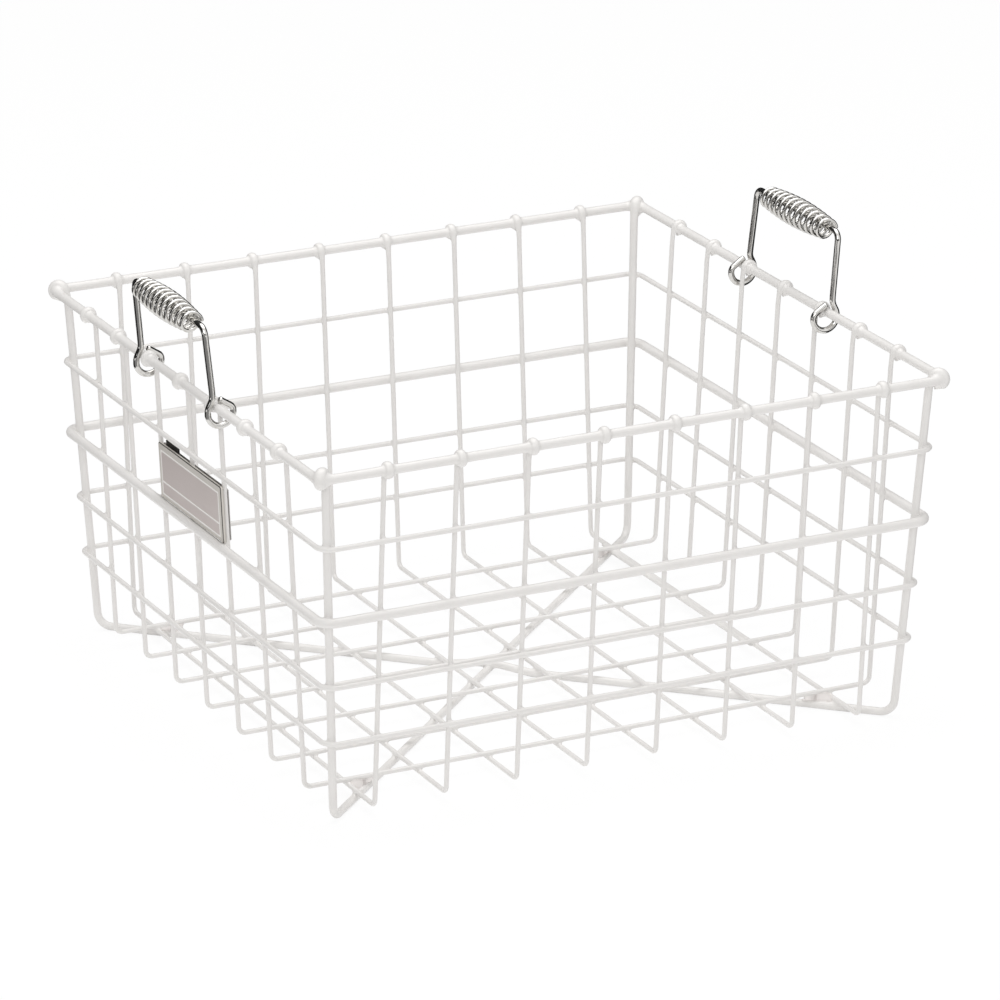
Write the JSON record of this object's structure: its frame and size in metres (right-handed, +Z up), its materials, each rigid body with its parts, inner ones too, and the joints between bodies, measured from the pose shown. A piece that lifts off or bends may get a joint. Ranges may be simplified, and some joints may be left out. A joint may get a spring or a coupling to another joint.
{
  "type": "tableware basket",
  "caption": "Square open basket of white plastic-coated welded wire, with two swinging steel bail handles in coil-spring grips and a blank metal nameplate.",
  "frame": {"origin": "on the ground below the middle of the basket", "axes": "+X along the longer rim side from the nameplate side to the other handle, +Y from the front to the back, +Z up"},
  "size_m": [0.4976, 0.4516, 0.3126],
  "materials": {
    "coat": "satin-gloss white plastic coat on steel wire",
    "stainless": "bright drawn stainless wire and satin sheet",
    "blackened": "dark steel strip"
  },
  "bodies": {
    "basket": {"rim_wire": "coat", "ring_wire_top": "coat", "ring_wire_belt": "coat", "ring_wire_third": "coat", "ring_wire_low": "coat", "long_wire_1": "coat", "long_wire_2": "coat", "long_wire_3": "coat", "long_wire_4": "coat", "long_wire_5": "coat", "long_wire_6": "coat", "long_wire_7": "coat", "cross_wire_1": "coat", "cross_wire_2": "coat", "cross_wire_3": "coat", "cross_wire_4": "coat", "cross_wire_5": "coat", "cross_wire_6": "coat", "cross_wire_7": "coat", "cross_wire_8": "coat", "floor_doubler_wire": "coat", "corner_frame_lower": "coat", "corner_frame_upper": "coat", "nameplate_front": "stainless", "nameplate_back": "stainless", "nameplate_strip": "blackened"},
    "bail_left": {"bail_handle_left": "stainless"},
    "grip_left": {"coil_grip_left": "stainless"},
    "bail_right": {"bail_handle_right": "stainless"},
    "grip_right": {"coil_grip_right": "stainless"}
  },
  "joints": [
    {"name": "bail_left_swing", "type": "hinge", "parent": "basket", "child": "bail_left", "pos_m": [-0.23, -0.00135, 0.2475], "axis": [0, -1, 0], "range_deg": [-160, 160]},
    {"name": "grip_left_turn", "type": "hinge", "parent": "bail_left", "child": "grip_left", "pos_m": [-0.238, 0.00215, 0.3018], "axis": [0, 1, 0], "continuous": true},
    {"name": "bail_right_swing", "type": "hinge", "parent": "basket", "child": "bail_right", "pos_m": [0.23, -0.00135, 0.2475], "axis": [0, 1, 0], "range_deg": [-160, 160]},
    {"name": "grip_right_turn", "type": "hinge", "parent": "bail_right", "child": "grip_right", "pos_m": [0.238, -0.0013, 0.3018], "axis": [0, 1, 0], "continuous": true}
  ]
}
